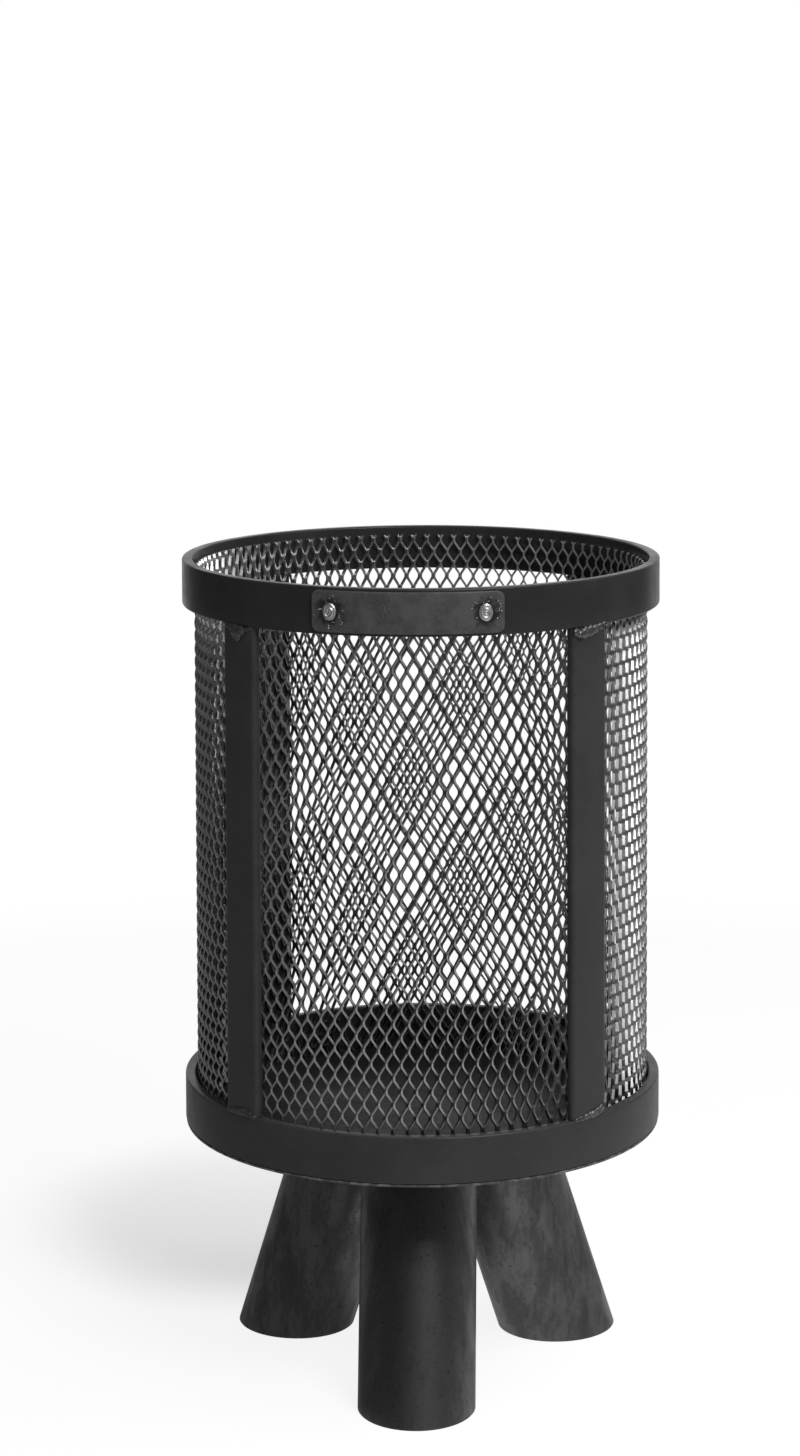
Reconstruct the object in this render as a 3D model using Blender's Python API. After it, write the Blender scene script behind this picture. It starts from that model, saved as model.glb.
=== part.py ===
"""Fire basket: a cylinder of expanded metal held between two flat-bar hoops and four uprights.

It stands on a round base plate and three splayed tube legs, and a blank curved plate is plug welded to
the front of the top hoop. Metres, +Z up. The origin is on the ground, on the basket's axis, and the
front, where the plate and one leg are, faces -Y. An azimuth is measured from the front towards +X.
"""

import math

import bmesh
import bpy
from mathutils import Matrix, Vector

# Overall sizes
TOTAL_HEIGHT = 0.630
HOOP_OUTER_D = 0.370
LEG_HEIGHT = 0.189

# Flat bar, the same stock for the hoops and the uprights
BAR_WIDTH = 0.035
BAR_THICKNESS = 0.008
HOOP_EDGE_R = 0.0012
UPRIGHT_EDGE_R = 0.0016
UPRIGHT_INSET = 0.0008
UPRIGHT_AZIMUTHS = {"front_left": -45.0, "front_right": 45.0, "rear_right": 135.0, "rear_left": -135.0}

# Base plate under the bottom hoop
BASE_THICKNESS = 0.002
BASE_INSET = 0.0005

# Expanded metal: the diamonds stand on end, and each bond leans like a louvre
MESH_TOP_DROP = 0.0105
MESH_DIAMOND_HEIGHT = 0.061
MESH_DIAMOND_WIDTH = 0.0325
MESH_THICKNESS = 0.0022
MESH_LEAN = 0.0012
BOND_WIDTH = 0.005
BOND_HEIGHT = 0.009

# Splayed tube legs
LEG_AZIMUTHS = {"front": 0.0, "rear_right": 120.0, "rear_left": -120.0}
LEG_TUBE_D = 0.0889
LEG_TUBE_WALL = 0.003
LEG_SPLAY = math.radians(19.3)
LEG_TOP_SPACING = 0.0045

# Blank plate on the top hoop and its plug welds
PLATE_ARC_LENGTH = 0.144
PLATE_THICKNESS = 0.002
PLATE_MARGIN = 0.0022
PLATE_CORNER_R = 0.0055
PLUG_HOLE_D = 0.008
PLUG_INSET = 0.0135
PLUG_CAP_D = 0.0105
PLUG_CAP_HEIGHT = 0.0014

# Weld beads
BEAD_SIDE_MARGIN = 0.003
TOP_BEAD_HEIGHT = 0.009
BOTTOM_BEAD_HEIGHT = 0.006
BEAD_DEPTH = 0.0026
BEAD_END_TAPER = 0.85
BEAD_RIPPLE = 0.15
BEAD_RIPPLE_TURN = 5.0
BEAD_EDGE_SHARE = 0.25
LEG_BEAD_SIZE = 0.005
LEG_BEAD_CROWN = 0.55

# Gap left between pieces that touch, and the number of facets round the turned pieces
SEAT_GAP = 0.0003
HOOP_FACETS = 64
LEG_FACETS = 40
PLUG_FACETS = 12
PLATE_FACETS = 12
BEAD_STATIONS = 9
LEG_BEAD_FACETS = 24

# Places worked out from the sizes above
HOOP_OUTER_R = HOOP_OUTER_D / 2
HOOP_INNER_R = HOOP_OUTER_R - BAR_THICKNESS
BASE_TOP = LEG_HEIGHT + SEAT_GAP + BASE_THICKNESS
BOTTOM_HOOP_LOW = BASE_TOP + SEAT_GAP
BOTTOM_HOOP_TOP = BOTTOM_HOOP_LOW + BAR_WIDTH
TOP_HOOP_LOW = TOTAL_HEIGHT - BAR_WIDTH
UPRIGHT_FACE_R = HOOP_OUTER_R - UPRIGHT_INSET
LEG_TUBE_R = LEG_TUBE_D / 2
FACET_SHRINK = math.cos(math.pi / HOOP_FACETS)
MESH_OUTER_R = min(UPRIGHT_FACE_R - BAR_THICKNESS, HOOP_INNER_R * FACET_SHRINK) - SEAT_GAP
MESH_LOW = BASE_TOP + SEAT_GAP
MESH_TOP = TOTAL_HEIGHT - MESH_TOP_DROP

# Colours: linear red, green, blue, then roughness and metallic
DARK_STEEL = ((0.030, 0.031, 0.033), 0.55, 0.6)
GREY_STEEL = ((0.22, 0.215, 0.21), 0.42, 0.9)
PLATE_STEEL = ((0.060, 0.060, 0.061), 0.5, 0.7)
BARE_WELD = ((0.42, 0.42, 0.42), 0.3, 1.0)
DULL_WELD = ((0.045, 0.045, 0.046), 0.5, 0.8)


def clear_scene():
    """Removes every object that the scene starts with."""
    for obj in list(bpy.data.objects):
        bpy.data.objects.remove(obj, do_unlink=True)


def steel(name, finish):
    """One Principled BSDF material in a finish."""
    colour, roughness, metallic = finish
    material = bpy.data.materials.new(name)
    material.use_nodes = True
    shader = material.node_tree.nodes["Principled BSDF"]
    shader.inputs["Base Color"].default_value = (*colour, 1.0)
    shader.inputs["Roughness"].default_value = roughness
    shader.inputs["Metallic"].default_value = metallic
    material.diffuse_color = (*colour, 1.0)
    return material


def add_piece(name, bm, finish, azimuth=0.0):
    """Makes an object of the mesh, turned from the front to its azimuth, with a material of its own."""
    bmesh.ops.recalc_face_normals(bm, faces=bm.faces[:])
    mesh = bpy.data.meshes.new(name)
    bm.to_mesh(mesh)
    bm.free()
    mesh.shade_smooth()
    mesh.set_sharp_from_angle(angle=math.radians(30.0))
    mesh.materials.append(steel(name + "_steel", finish))
    obj = bpy.data.objects.new(name, mesh)
    obj.rotation_euler.z = math.radians(azimuth)
    bpy.context.collection.objects.link(obj)
    return obj


def rounded_rectangle(width, height, radius, steps):
    """Points of a rectangle about the middle, counter-clockwise, each corner an arc of so many steps."""
    points = []
    corners = ((1, 1), (-1, 1), (-1, -1), (1, -1))
    for quarter, (side, up) in enumerate(corners):
        centre = Vector((side * (width / 2 - radius), up * (height / 2 - radius)))
        for step in range(steps + 1):
            angle = math.pi / 2 * (quarter + step / steps)
            points.append(centre + radius * Vector((math.cos(angle), math.sin(angle))))
    return points


def wire_loop(bm, points):
    """Adds a closed loop of edges through the points and returns its edges."""
    verts = [bm.verts.new(point) for point in points]
    return [bm.edges.new(pair) for pair in zip(verts, verts[1:] + verts[:1])]


def polar(radius, angle, height):
    """The point at a radius and at an angle from the front, at a height."""
    return Vector((radius * math.sin(angle), -radius * math.cos(angle), height))


def hoop(name, low):
    """A flat bar rolled into a ring: its rounded section spun about the basket's axis."""
    bm = bmesh.new()
    middle = Vector((HOOP_OUTER_R - BAR_THICKNESS / 2, 0.0, low + BAR_WIDTH / 2))
    section = rounded_rectangle(BAR_THICKNESS, BAR_WIDTH, HOOP_EDGE_R, 1)
    wire_loop(bm, [middle + Vector((x, 0.0, z)) for x, z in section])
    bmesh.ops.spin(bm, geom=bm.verts[:] + bm.edges[:], cent=(0, 0, 0), axis=(0, 0, 1),
                   angle=2 * math.pi, steps=HOOP_FACETS, use_merge=True)
    bmesh.ops.remove_doubles(bm, verts=bm.verts[:], dist=1e-6)
    return add_piece(name, bm, DARK_STEEL)


def base_plate():
    """The round sheet that closes the basket from below and carries the legs."""
    bm = bmesh.new()
    bmesh.ops.create_circle(bm, cap_ends=True, segments=HOOP_FACETS, radius=HOOP_OUTER_R - BASE_INSET,
                            matrix=Matrix.Translation((0, 0, BASE_TOP - BASE_THICKNESS)))
    grown = bmesh.ops.extrude_face_region(bm, geom=bm.faces[:], use_keep_orig=True)
    raised = [item for item in grown["geom"] if isinstance(item, bmesh.types.BMVert)]
    bmesh.ops.translate(bm, verts=raised, vec=(0, 0, BASE_THICKNESS))
    return add_piece("base_plate", bm, DARK_STEEL)


def upright(side, azimuth):
    """A flat bar that stands between the hoops, its outer corners about flush with their outer face."""
    low = BOTTOM_HOOP_TOP + SEAT_GAP
    length = TOP_HOOP_LOW - SEAT_GAP - low
    bm = bmesh.new()
    place = Matrix.Translation((0, -UPRIGHT_FACE_R + BAR_THICKNESS / 2, low + length / 2))
    size = Matrix.Diagonal((BAR_WIDTH, BAR_THICKNESS, length, 1.0))
    bmesh.ops.create_cube(bm, size=1.0, matrix=place @ size)
    standing = [edge for edge in bm.edges if abs(edge.verts[0].co.z - edge.verts[1].co.z) > length / 2]
    bmesh.ops.bevel(bm, geom=standing, offset=UPRIGHT_EDGE_R, segments=2, profile=0.5, affect="EDGES")
    return add_piece("upright_" + side, bm, DARK_STEEL, azimuth)


def expanded_mesh():
    """The rolled sheet of expanded metal, as bonds joined by slanting strands.

    A bond is where four strands meet. Seen from outside, its right corner stands out and its left
    corner lies back, so each strand is twisted. Every second level is shifted round by half a diamond.
    The first and last levels are cut through their bonds, where the sheet was cut to length.
    """
    columns = round(2 * math.pi * MESH_OUTER_R / MESH_DIAMOND_WIDTH)
    levels = 2 * round((MESH_TOP - MESH_LOW) / MESH_DIAMOND_HEIGHT)
    rise = (MESH_TOP - MESH_LOW) / levels
    turn = 2 * math.pi / columns
    half_turn = BOND_WIDTH / 2 / MESH_OUTER_R
    half_height = BOND_HEIGHT / 2
    bm = bmesh.new()

    def bond(column, level):
        angle = (column + 0.5 * (level % 2)) * turn
        height = MESH_LOW + level * rise
        corners = {
            "left": polar(MESH_OUTER_R - 2 * MESH_LEAN, angle - half_turn, height),
            "right": polar(MESH_OUTER_R, angle + half_turn, height),
            "above": polar(MESH_OUTER_R - MESH_LEAN, angle, height + half_height),
            "below": polar(MESH_OUTER_R - MESH_LEAN, angle, height - half_height),
        }
        if level == 0:
            del corners["below"]
        if level == levels:
            del corners["above"]
        return {place: bm.verts.new(point) for place, point in corners.items()}

    bonds = [[bond(column, level) for column in range(columns)] for level in range(levels + 1)]
    for level, row in enumerate(bonds):
        for column, here in enumerate(row):
            outline = [here[place] for place in ("below", "right", "above", "left") if place in here]
            bm.faces.new(outline)
            if level == levels:
                continue
            up_left = bonds[level + 1][(column - 1 + level % 2) % columns]
            up_right = bonds[level + 1][(column + level % 2) % columns]
            bm.faces.new((here["above"], here["right"], up_right["below"], up_right["left"]))
            bm.faces.new((here["left"], here["above"], up_left["right"], up_left["below"]))

    grown = bmesh.ops.extrude_face_region(bm, geom=bm.faces[:], use_keep_orig=True)
    for vert in (item for item in grown["geom"] if isinstance(item, bmesh.types.BMVert)):
        inward = Vector((vert.co.x, vert.co.y, 0.0)).normalized() * MESH_THICKNESS
        vert.co -= inward
    return add_piece("basket_mesh", bm, GREY_STEEL)


def leg_top_radius():
    """How far out the leg's axis meets the base, so that neighbouring legs keep their spacing there."""
    along = LEG_TUBE_R / math.cos(LEG_SPLAY) * math.cos(math.pi / 3)
    across = LEG_TUBE_R * math.sin(math.pi / 3)
    return (2 * math.hypot(along, across) + LEG_TOP_SPACING) / math.sqrt(3)


def leg_point(radius, angle, height):
    """A point on a cylinder about the front leg's axis, in the level plane at a height."""
    outward = leg_top_radius() + (LEG_HEIGHT - height) * math.tan(LEG_SPLAY)
    along = outward + radius / math.cos(LEG_SPLAY) * math.cos(angle)
    return Vector((radius * math.sin(angle), -along, height))


def leg(side, azimuth):
    """A splayed tube, cut level at the base plate and at the ground."""
    bm = bmesh.new()
    turns = [2 * math.pi * step / LEG_FACETS for step in range(LEG_FACETS)]
    bore_r = LEG_TUBE_R - LEG_TUBE_WALL
    corners = ((LEG_TUBE_R, 0.0), (LEG_TUBE_R, LEG_HEIGHT), (bore_r, LEG_HEIGHT), (bore_r, 0.0))
    loops = [wire_loop(bm, [leg_point(radius, turn, height) for turn in turns]) for radius, height in corners]
    for first, second in zip(loops, loops[1:] + loops[:1]):
        bmesh.ops.bridge_loops(bm, edges=first + second)
    return add_piece("leg_" + side, bm, DARK_STEEL, azimuth)


def leg_bead(side, azimuth):
    """The fillet weld round the outer side of a leg, in the corner under the base plate."""
    bm = bmesh.new()
    top = LEG_HEIGHT
    swell = LEG_BEAD_SIZE - SEAT_GAP
    crown = LEG_BEAD_CROWN * swell
    section = ((SEAT_GAP, 0.0), (LEG_BEAD_SIZE, 0.0), (SEAT_GAP + crown, crown), (SEAT_GAP, swell))
    loops = []
    for station in range(LEG_BEAD_FACETS + 1):
        angle = 2 * math.pi * (station - LEG_BEAD_FACETS // 2) / LEG_FACETS
        points = [leg_point(LEG_TUBE_R + out, angle, top - down) for out, down in section]
        loops.append(wire_loop(bm, points))
    for first, second in zip(loops, loops[1:]):
        bmesh.ops.bridge_loops(bm, edges=first + second)
    bmesh.ops.holes_fill(bm, edges=loops[0] + loops[-1], sides=len(section))
    return add_piece("leg_bead_" + side, bm, DULL_WELD, azimuth)


def plug_angle():
    """The angle from the front to each plug weld of the plate."""
    return (PLATE_ARC_LENGTH / 2 - PLUG_INSET) / HOOP_OUTER_R


def name_plate():
    """The blank plate, cut flat with its two plug holes and then rolled to the hoop's radius."""
    bm = bmesh.new()
    height = BAR_WIDTH - 2 * PLATE_MARGIN
    outline = rounded_rectangle(PLATE_ARC_LENGTH, height, PLATE_CORNER_R, 3)
    wire_loop(bm, [Vector((x, 0.0, z)) for x, z in outline])
    reach = plug_angle() * HOOP_OUTER_R
    for centre in (-reach, reach):
        turns = [2 * math.pi * step / PLUG_FACETS for step in range(PLUG_FACETS)]
        radius = PLUG_HOLE_D / 2
        wire_loop(bm, [Vector((centre + radius * math.cos(t), 0.0, radius * math.sin(t))) for t in turns])
    bmesh.ops.triangle_fill(bm, use_beauty=True, edges=bm.edges[:], normal=(0, -1, 0))
    for step in range(1, PLATE_FACETS):
        cut = PLATE_ARC_LENGTH * (step / PLATE_FACETS - 0.5)
        bmesh.ops.bisect_plane(bm, geom=bm.verts[:] + bm.edges[:] + bm.faces[:], dist=2e-4,
                               plane_co=(cut, 0, 0), plane_no=(1, 0, 0))
    grown = bmesh.ops.extrude_face_region(bm, geom=bm.faces[:], use_keep_orig=True)
    front = {item for item in grown["geom"] if isinstance(item, bmesh.types.BMVert)}
    back_r = HOOP_OUTER_R + SEAT_GAP
    middle = TOP_HOOP_LOW + BAR_WIDTH / 2
    for vert in bm.verts:
        radius = back_r + (PLATE_THICKNESS if vert in front else 0.0)
        vert.co = polar(radius, vert.co.x / HOOP_OUTER_R, middle + vert.co.z)
    return add_piece("name_plate", bm, PLATE_STEEL)


def plug_weld(side, direction):
    """A plug weld: it fills the plate's hole down to the hoop and stands out as a low dome."""
    back = HOOP_OUTER_R + SEAT_GAP
    face = back + PLATE_THICKNESS + SEAT_GAP
    stem_r = PLUG_HOLE_D / 2 - SEAT_GAP
    cap_r = PLUG_CAP_D / 2
    profile = ((0.0, back), (stem_r, back), (stem_r, face), (cap_r, face),
               (cap_r, face + PLUG_CAP_HEIGHT / 3), (cap_r * 0.6, face + PLUG_CAP_HEIGHT * 0.85),
               (0.0, face + PLUG_CAP_HEIGHT))
    middle = TOP_HOOP_LOW + BAR_WIDTH / 2
    bm = bmesh.new()
    verts = [bm.verts.new((radius, -out, middle)) for radius, out in profile]
    for pair in zip(verts, verts[1:]):
        bm.edges.new(pair)
    bmesh.ops.spin(bm, geom=bm.verts[:] + bm.edges[:], cent=(0, 0, middle), axis=(0, 1, 0),
                   angle=2 * math.pi, steps=PLUG_FACETS, use_merge=True)
    bmesh.ops.remove_doubles(bm, verts=bm.verts[:], dist=1e-6)
    return add_piece("plug_weld_" + side, bm, BARE_WELD, math.degrees(direction * plug_angle()))


def upright_bead(name, azimuth, seam, reach, phase):
    """A weld bead on an upright's face, from the seam at its hoop along the face by the reach.

    The reach is negative where the bead hangs down from the top hoop. The bead swells and thins along
    its run, and its back stays flat on the upright.
    """
    bm = bmesh.new()
    half = BAR_WIDTH / 2 - BEAD_SIDE_MARGIN
    back = UPRIGHT_FACE_R + SEAT_GAP
    loops = []
    for station in range(BEAD_STATIONS):
        along = 2 * station / (BEAD_STATIONS - 1) - 1
        ripple = 1.0 - BEAD_RIPPLE + BEAD_RIPPLE * math.sin(BEAD_RIPPLE_TURN * along + phase)
        swell = math.sqrt(1.0 - BEAD_END_TAPER * along**2) * ripple
        points = [Vector((half * along, -back, seam + reach * swell))]
        for step in range(4):
            angle = math.pi / 2 * step / 3
            share = BEAD_EDGE_SHARE + (1.0 - BEAD_EDGE_SHARE) * math.sin(angle)
            out = back + BEAD_DEPTH * swell * share
            points.append(Vector((half * along, -out, seam + reach * swell * math.cos(angle))))
        points.append(Vector((half * along, -back, seam)))
        loops.append(wire_loop(bm, points))
    for first, second in zip(loops, loops[1:]):
        bmesh.ops.bridge_loops(bm, edges=first + second)
    bmesh.ops.holes_fill(bm, edges=loops[0] + loops[-1], sides=len(points))
    return add_piece(name, bm, DULL_WELD, azimuth)


def build():
    """Builds every piece and hangs them all on one empty."""
    clear_scene()
    pieces = [hoop("top_hoop", TOP_HOOP_LOW), hoop("bottom_hoop", BOTTOM_HOOP_LOW), base_plate()]
    pieces.append(expanded_mesh())
    top_seam = TOP_HOOP_LOW - SEAT_GAP
    bottom_seam = BOTTOM_HOOP_TOP + SEAT_GAP
    for order, (side, azimuth) in enumerate(UPRIGHT_AZIMUTHS.items()):
        pieces.append(upright(side, azimuth))
        pieces.append(upright_bead("top_bead_" + side, azimuth, top_seam, -TOP_BEAD_HEIGHT, order))
        pieces.append(upright_bead("bottom_bead_" + side, azimuth, bottom_seam, BOTTOM_BEAD_HEIGHT,
                                   order + 2.0))
    for side, azimuth in LEG_AZIMUTHS.items():
        pieces.append(leg(side, azimuth))
        pieces.append(leg_bead(side, azimuth))
    pieces += [name_plate(), plug_weld("left", -1), plug_weld("right", 1)]
    stand = bpy.data.objects.new("fire_basket", None)
    bpy.context.collection.objects.link(stand)
    for piece in pieces:
        piece.parent = stand


build()
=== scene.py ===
"""Fire basket: the finished look of every piece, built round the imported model.

Lengths are metres and angles radians, +Z is up, and the front, where the plate and one leg are, faces -Y.
An azimuth is measured from the front towards +X. Every piece is modelled in place, so its object stands
at the origin and its object coordinates are the basket's own.
"""

import logging
import math
import random
from dataclasses import dataclass, replace
from enum import Enum

import bmesh
import bpy
from mathutils import Matrix, Vector, noise


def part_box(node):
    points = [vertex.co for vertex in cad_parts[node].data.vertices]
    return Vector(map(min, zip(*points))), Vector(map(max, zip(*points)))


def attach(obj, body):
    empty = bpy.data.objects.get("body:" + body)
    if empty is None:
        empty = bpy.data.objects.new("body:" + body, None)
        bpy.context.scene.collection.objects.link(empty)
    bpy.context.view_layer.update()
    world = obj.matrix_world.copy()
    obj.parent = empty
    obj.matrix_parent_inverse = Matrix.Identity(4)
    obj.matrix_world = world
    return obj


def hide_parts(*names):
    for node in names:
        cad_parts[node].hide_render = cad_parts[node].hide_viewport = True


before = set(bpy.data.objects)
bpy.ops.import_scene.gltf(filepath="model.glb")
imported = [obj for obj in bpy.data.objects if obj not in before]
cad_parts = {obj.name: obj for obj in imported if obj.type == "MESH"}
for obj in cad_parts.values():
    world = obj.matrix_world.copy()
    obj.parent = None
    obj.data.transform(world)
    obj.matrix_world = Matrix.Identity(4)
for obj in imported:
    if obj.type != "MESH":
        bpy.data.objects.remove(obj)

LOG = logging.getLogger("fire_basket")
BODY = "root"
# The wear layer holds edge wear, and on the expanded sheet also painted shade.
WEAR_AND_SHADE_LAYER = "wear"
SCORCH_LAYER = "scorch"
BAKE_MAP = "OFBake"
TURN = 2.0 * math.pi
SEAT_GAP = 0.0003
HAIR = 1e-7
CORNER_CUT = 0.3  # how far a small rounded edge's middle lies inside the sharp edge, in radii

Socket = bpy.types.NodeSocket
Piece = bpy.types.Object
Pair = tuple[float, float]
Triple = tuple[float, float, float]


class Slot(Enum):
    """The record's material slots."""

    HOOP = "hoop_steel"
    MESH = "mesh_steel"
    LEG = "leg_steel"
    PLATE = "plate_steel"
    WELD = "weld_bead"
    BARE = "bare_weld"


def polar(radius: float, angle: float, height: float) -> Vector:
    """The point at a radius, at an angle from the front towards +X, at a height."""
    return Vector((radius * math.sin(angle), -radius * math.cos(angle), height))


def smooth_step(share: float) -> float:
    """A share held between 0 and 1, eased in and out."""
    share = max(0.0, min(1.0, share))
    return share * share * (3.0 - 2.0 * share)


def stand(name: str, data: bpy.types.ID) -> Piece:
    """Puts a new object into the scene.

    Args:
        name: the object's name.
        data: its mesh, lamp or camera.

    Returns:
        The object.
    """
    made = bpy.data.objects.new(name, data)
    bpy.context.scene.collection.objects.link(made)
    return made


# Shader nodes


class Wiring:
    """Short ways to add and join shader nodes in one tree."""

    def __init__(self, tree: bpy.types.NodeTree) -> None:
        """Works on this node tree."""
        self.tree = tree

    def feed(self, socket: Socket, value: object) -> None:
        """Gives an input what it reads.

        Args:
            socket: the input.
            value: a socket to join to it, its own value, or None to leave it alone.
        """
        if isinstance(value, bpy.types.NodeSocket):
            self.tree.links.new(value, socket)
        elif value is not None:
            socket.default_value = value

    def node(self, kind: str, inputs: dict[str | int, object] | None = None, **settings: object
             ) -> bpy.types.Node:
        """Adds a node.

        Args:
            kind: its type, without the prefix that all of them share.
            inputs: what each input gets.
            settings: the node's own settings, by name.

        Returns:
            The node.
        """
        made = self.tree.nodes.new("ShaderNode" + kind)
        for label, setting in settings.items():
            setattr(made, label, setting)
        for label, value in (inputs or {}).items():
            self.feed(made.inputs[label], value)
        return made

    def noise(self, place: Socket, scale: object, detail: float, rough: float) -> Socket:
        """A noise value.

        Args:
            place: the vector that it is read at.
            scale: turns of the noise to a metre.
            detail: how many finer layers it has.
            rough: how strong the finer layers are.

        Returns:
            The noise's value.
        """
        inputs = {"Vector": place, "Scale": scale, "Detail": detail, "Roughness": rough}
        return self.node("TexNoise", inputs).outputs["Fac"]

    def math(self, kind: str, first: object, second: object) -> Socket:
        """A math node of a kind on two values."""
        return self.node("Math", {0: first, 1: second}, operation=kind).outputs[0]

    def vector(self, kind: str, first: Socket, second: object = None) -> bpy.types.Node:
        """A vector math node of a kind on one or two vectors."""
        return self.node("VectorMath", {0: first, 1: second}, operation=kind)

    def span(self, value: Socket, low: float, high: float, out_low: float = 0.0, out_high: float = 1.0
             ) -> Socket:
        """A value carried from one span to another, eased and held at its ends.

        Args:
            value: the value to carry over.
            low: the value that gives out_low.
            high: the value that gives out_high.
            out_low: the first result.
            out_high: the last result.

        Returns:
            The result.
        """
        labels = ("Value", "From Min", "From Max", "To Min", "To Max")
        inputs = dict(zip(labels, (value, low, high, out_low, out_high)))
        return self.node("MapRange", inputs, interpolation_type="SMOOTHSTEP").outputs["Result"]

    def blend(self, share: Socket, first: object, second: object) -> Socket:
        """A colour between two colours."""
        return self.node("Mix", {0: share, 6: first, 7: second}, data_type="RGBA").outputs[2]

    def layer(self, name: str) -> Socket:
        """A value stored with the mesh."""
        return self.node("Attribute", attribute_name=name).outputs["Fac"]

    def ray(self, kind: str) -> Socket:
        """1 for a kind of ray, else 0."""
        return self.node("LightPath").outputs[f"Is {kind} Ray"]


class NodeGroup(Wiring):
    """A shader node group under construction."""

    def __init__(self, name: str, inputs: dict[str, float | None], outputs: tuple[str, ...]) -> None:
        """Makes the group with its sockets.

        Args:
            name: the group's name.
            inputs: name and default of each input; a default of None makes a vector input.
            outputs: the names of the value outputs.
        """
        super().__init__(bpy.data.node_groups.new(name, "ShaderNodeTree"))
        for label, default in inputs.items():
            kind = "NodeSocketVector" if default is None else "NodeSocketFloat"
            socket = self.tree.interface.new_socket(label, in_out="INPUT", socket_type=kind)
            if default is not None:
                socket.default_value = default
        for label in outputs:
            self.tree.interface.new_socket(label, in_out="OUTPUT", socket_type="NodeSocketFloat")
        source = self.tree.nodes.new("NodeGroupInput")
        self.sink = self.tree.nodes.new("NodeGroupOutput")
        self.given = [source.outputs[label] for label in inputs]

    def put_out(self, label: str, socket: Socket) -> None:
        """Joins a socket to the output of that name."""
        self.tree.links.new(socket, self.sink.inputs[label])


class SharedEffects:
    """The shader groups that every finish of the basket draws on."""

    def __init__(self) -> None:
        """Builds each group once."""
        self.mottle = self._mottle()
        self.grain = self._grain()
        self.wear = self._wear()

    def _mottle(self) -> bpy.types.NodeTree:
        """Clouds that can be drawn out upwards, and small flecks, as on mill scale.

        Returns:
            The group.
        """
        made = NodeGroup("mill_mottle", {"Place": None, "Scale": 20.0, "Fleck Scale": 600.0, "Rise": 1.0},
                         ("Cloud", "Fleck"))
        place, scale, fleck_scale, rise = made.given
        stretch = made.node("CombineXYZ", {"X": 1.0, "Y": 1.0, "Z": rise}).outputs["Vector"]
        drawn = made.vector("MULTIPLY", place, stretch).outputs["Vector"]
        broad = made.noise(drawn, scale, 5.0, 0.6)
        fine = made.noise(drawn, made.math("MULTIPLY", scale, 5.3), 3.0, 0.6)
        both = made.math("ADD", made.math("MULTIPLY", broad, 0.72), made.math("MULTIPLY", fine, 0.28))
        made.put_out("Cloud", made.span(both, 0.38, 0.62))
        made.put_out("Fleck", made.span(made.noise(place, fleck_scale, 2.0, 0.6), 0.60, 0.74))
        return made.tree

    def _grain(self) -> bpy.types.NodeTree:
        """Height of a fine painted or rolled skin over slow waves of the surface.

        Returns:
            The group.
        """
        made = NodeGroup("skin_grain", {"Place": None, "Scale": 900.0, "Wave Scale": 30.0, "Wave Share": 0.5},
                         ("Height",))
        place, scale, wave_scale, wave_share = made.given
        fine = made.noise(place, scale, 3.0, 0.6)
        wave = made.noise(place, wave_scale, 2.0, 0.5)
        made.put_out("Height", made.math("ADD", fine, made.math("MULTIPLY", wave, wave_share)))
        return made.tree

    def _wear(self) -> bpy.types.NodeTree:
        """Where metal lies bare: the edge mask, broken up by noise unless it is even.

        Returns:
            The group.
        """
        made = NodeGroup("edge_wear", {"Place": None, "Edge": 0.0, "Amount": 0.5, "Even": 0.0}, ("Bare",))
        place, edge, amount, even = made.given
        patches = made.span(made.noise(place, 140.0, 5.0, 0.7), 0.38, 0.66)
        reach = made.math("MULTIPLY", made.math("MAXIMUM", patches, even), amount)
        made.put_out("Bare", made.math("MULTIPLY", edge, reach))
        return made.tree


def grey(level: float) -> tuple[float, float, float, float]:
    """A faintly cool grey of that linear level."""
    return (level, level, level * 1.02, 1.0)


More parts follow.
